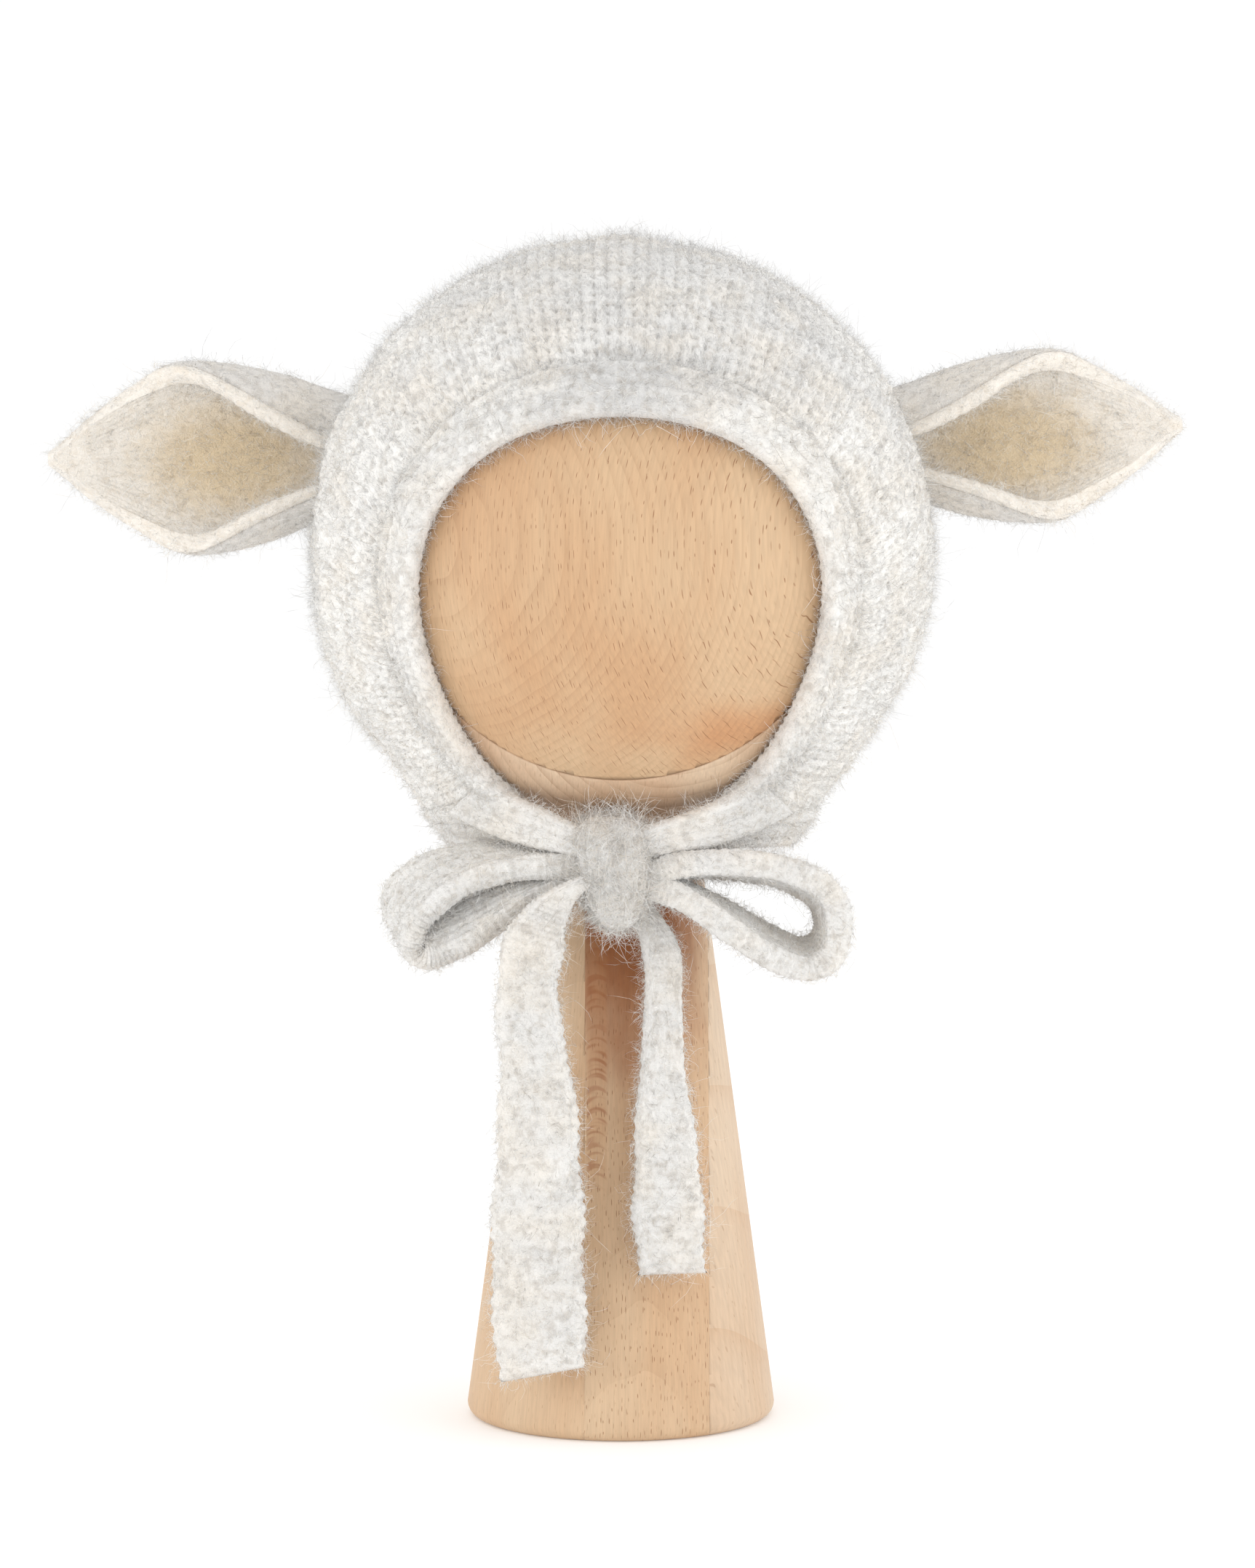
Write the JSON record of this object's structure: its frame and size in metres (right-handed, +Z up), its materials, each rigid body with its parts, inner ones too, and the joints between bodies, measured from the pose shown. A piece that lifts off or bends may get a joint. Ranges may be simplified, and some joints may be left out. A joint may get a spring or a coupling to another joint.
{
  "type": "baby bonnet on display stand",
  "caption": "Knitted baby bonnet with cupped lamb ears and a chin bow, worn by a round wooden head on a tapered stand.",
  "frame": {"origin": "middle of the stand's underside", "axes": "+Z up through the cone and the ball, -Y the way the face opening looks, +X to the right seen from the front"},
  "size_m": [0.2734, 0.1445, 0.2822],
  "materials": {
    "beech_cone": "fine-sanded, thin matt oil",
    "beech_ball": "fine-sanded, thin matt oil",
    "beech_dowel": "raw fluted dowel",
    "hood_knit": "brushed mohair-blend hand knit, matt",
    "tie_knit": "brushed mohair-blend hand knit, matt",
    "ear_knit": "brushed mohair-blend hand knit, matt",
    "ear_lining_knit": "cream brushed hand knit, matt"
  },
  "bodies": {
    "stand": {"cone_left_lamella": "beech_cone", "cone_centre_lamella": "beech_cone", "cone_right_lamella": "beech_cone", "ball_front_board": "beech_ball", "ball_second_board": "beech_ball", "ball_third_board": "beech_ball", "ball_back_board": "beech_ball", "neck_dowel": "beech_dowel"},
    "bonnet": {"hood_shell": "hood_knit", "face_hem": "hood_knit", "neck_band": "tie_knit", "crown_gather": "hood_knit", "tie_lead_left": "tie_knit", "tie_lead_right": "tie_knit", "bow_knot": "tie_knit", "ear_left_seam": "ear_knit", "ear_right_seam": "ear_knit"},
    "ear_left": {"ear_left_shell": "ear_knit", "ear_left_lining": "ear_lining_knit"},
    "ear_right": {"ear_right_shell": "ear_knit", "ear_right_lining": "ear_lining_knit"},
    "loop_left": {"bow_loop_left": "tie_knit"},
    "loop_right": {"bow_loop_right": "tie_knit"},
    "tail_left": {"tie_tail_left": "tie_knit"},
    "tail_right": {"tie_tail_right": "tie_knit"}
  },
  "joints": [
    {"name": "hood_turn", "type": "hinge", "parent": "stand", "child": "bonnet", "pos_m": [0, 0, 0.208], "axis": [0, 0, 1], "continuous": true},
    {"name": "ear_left_flap", "type": "hinge", "parent": "bonnet", "child": "ear_left", "pos_m": [-0.0744, 0.004, 0.23], "axis": [0, 1, 0], "range_deg": [-12, 12], "stiffness_Nm_per_rad": 0.03},
    {"name": "ear_right_flap", "type": "hinge", "parent": "bonnet", "child": "ear_right", "pos_m": [0.0744, 0.004, 0.233], "axis": [0, 1, 0], "range_deg": [-12, 12], "stiffness_Nm_per_rad": 0.03},
    {"name": "loop_left_sag", "type": "hinge", "parent": "bonnet", "child": "loop_left", "pos_m": [-0.0126, -0.039, 0.132], "axis": [0, -1, 0], "range_deg": [0, 8], "stiffness_Nm_per_rad": 0.02},
    {"name": "loop_right_sag", "type": "hinge", "parent": "bonnet", "child": "loop_right", "pos_m": [0.0068, -0.039, 0.131], "axis": [0, 1, 0], "range_deg": [0, 8], "stiffness_Nm_per_rad": 0.02},
    {"name": "tail_left_swing", "type": "hinge", "parent": "bonnet", "child": "tail_left", "pos_m": [-0.018, -0.0455, 0.1184], "axis": [-1, 0, 0], "range_deg": [0, 55]},
    {"name": "tail_right_swing", "type": "hinge", "parent": "bonnet", "child": "tail_right", "pos_m": [0.0095, -0.0363, 0.1143], "axis": [-1, 0, 0], "range_deg": [0, 55]}
  ]
}
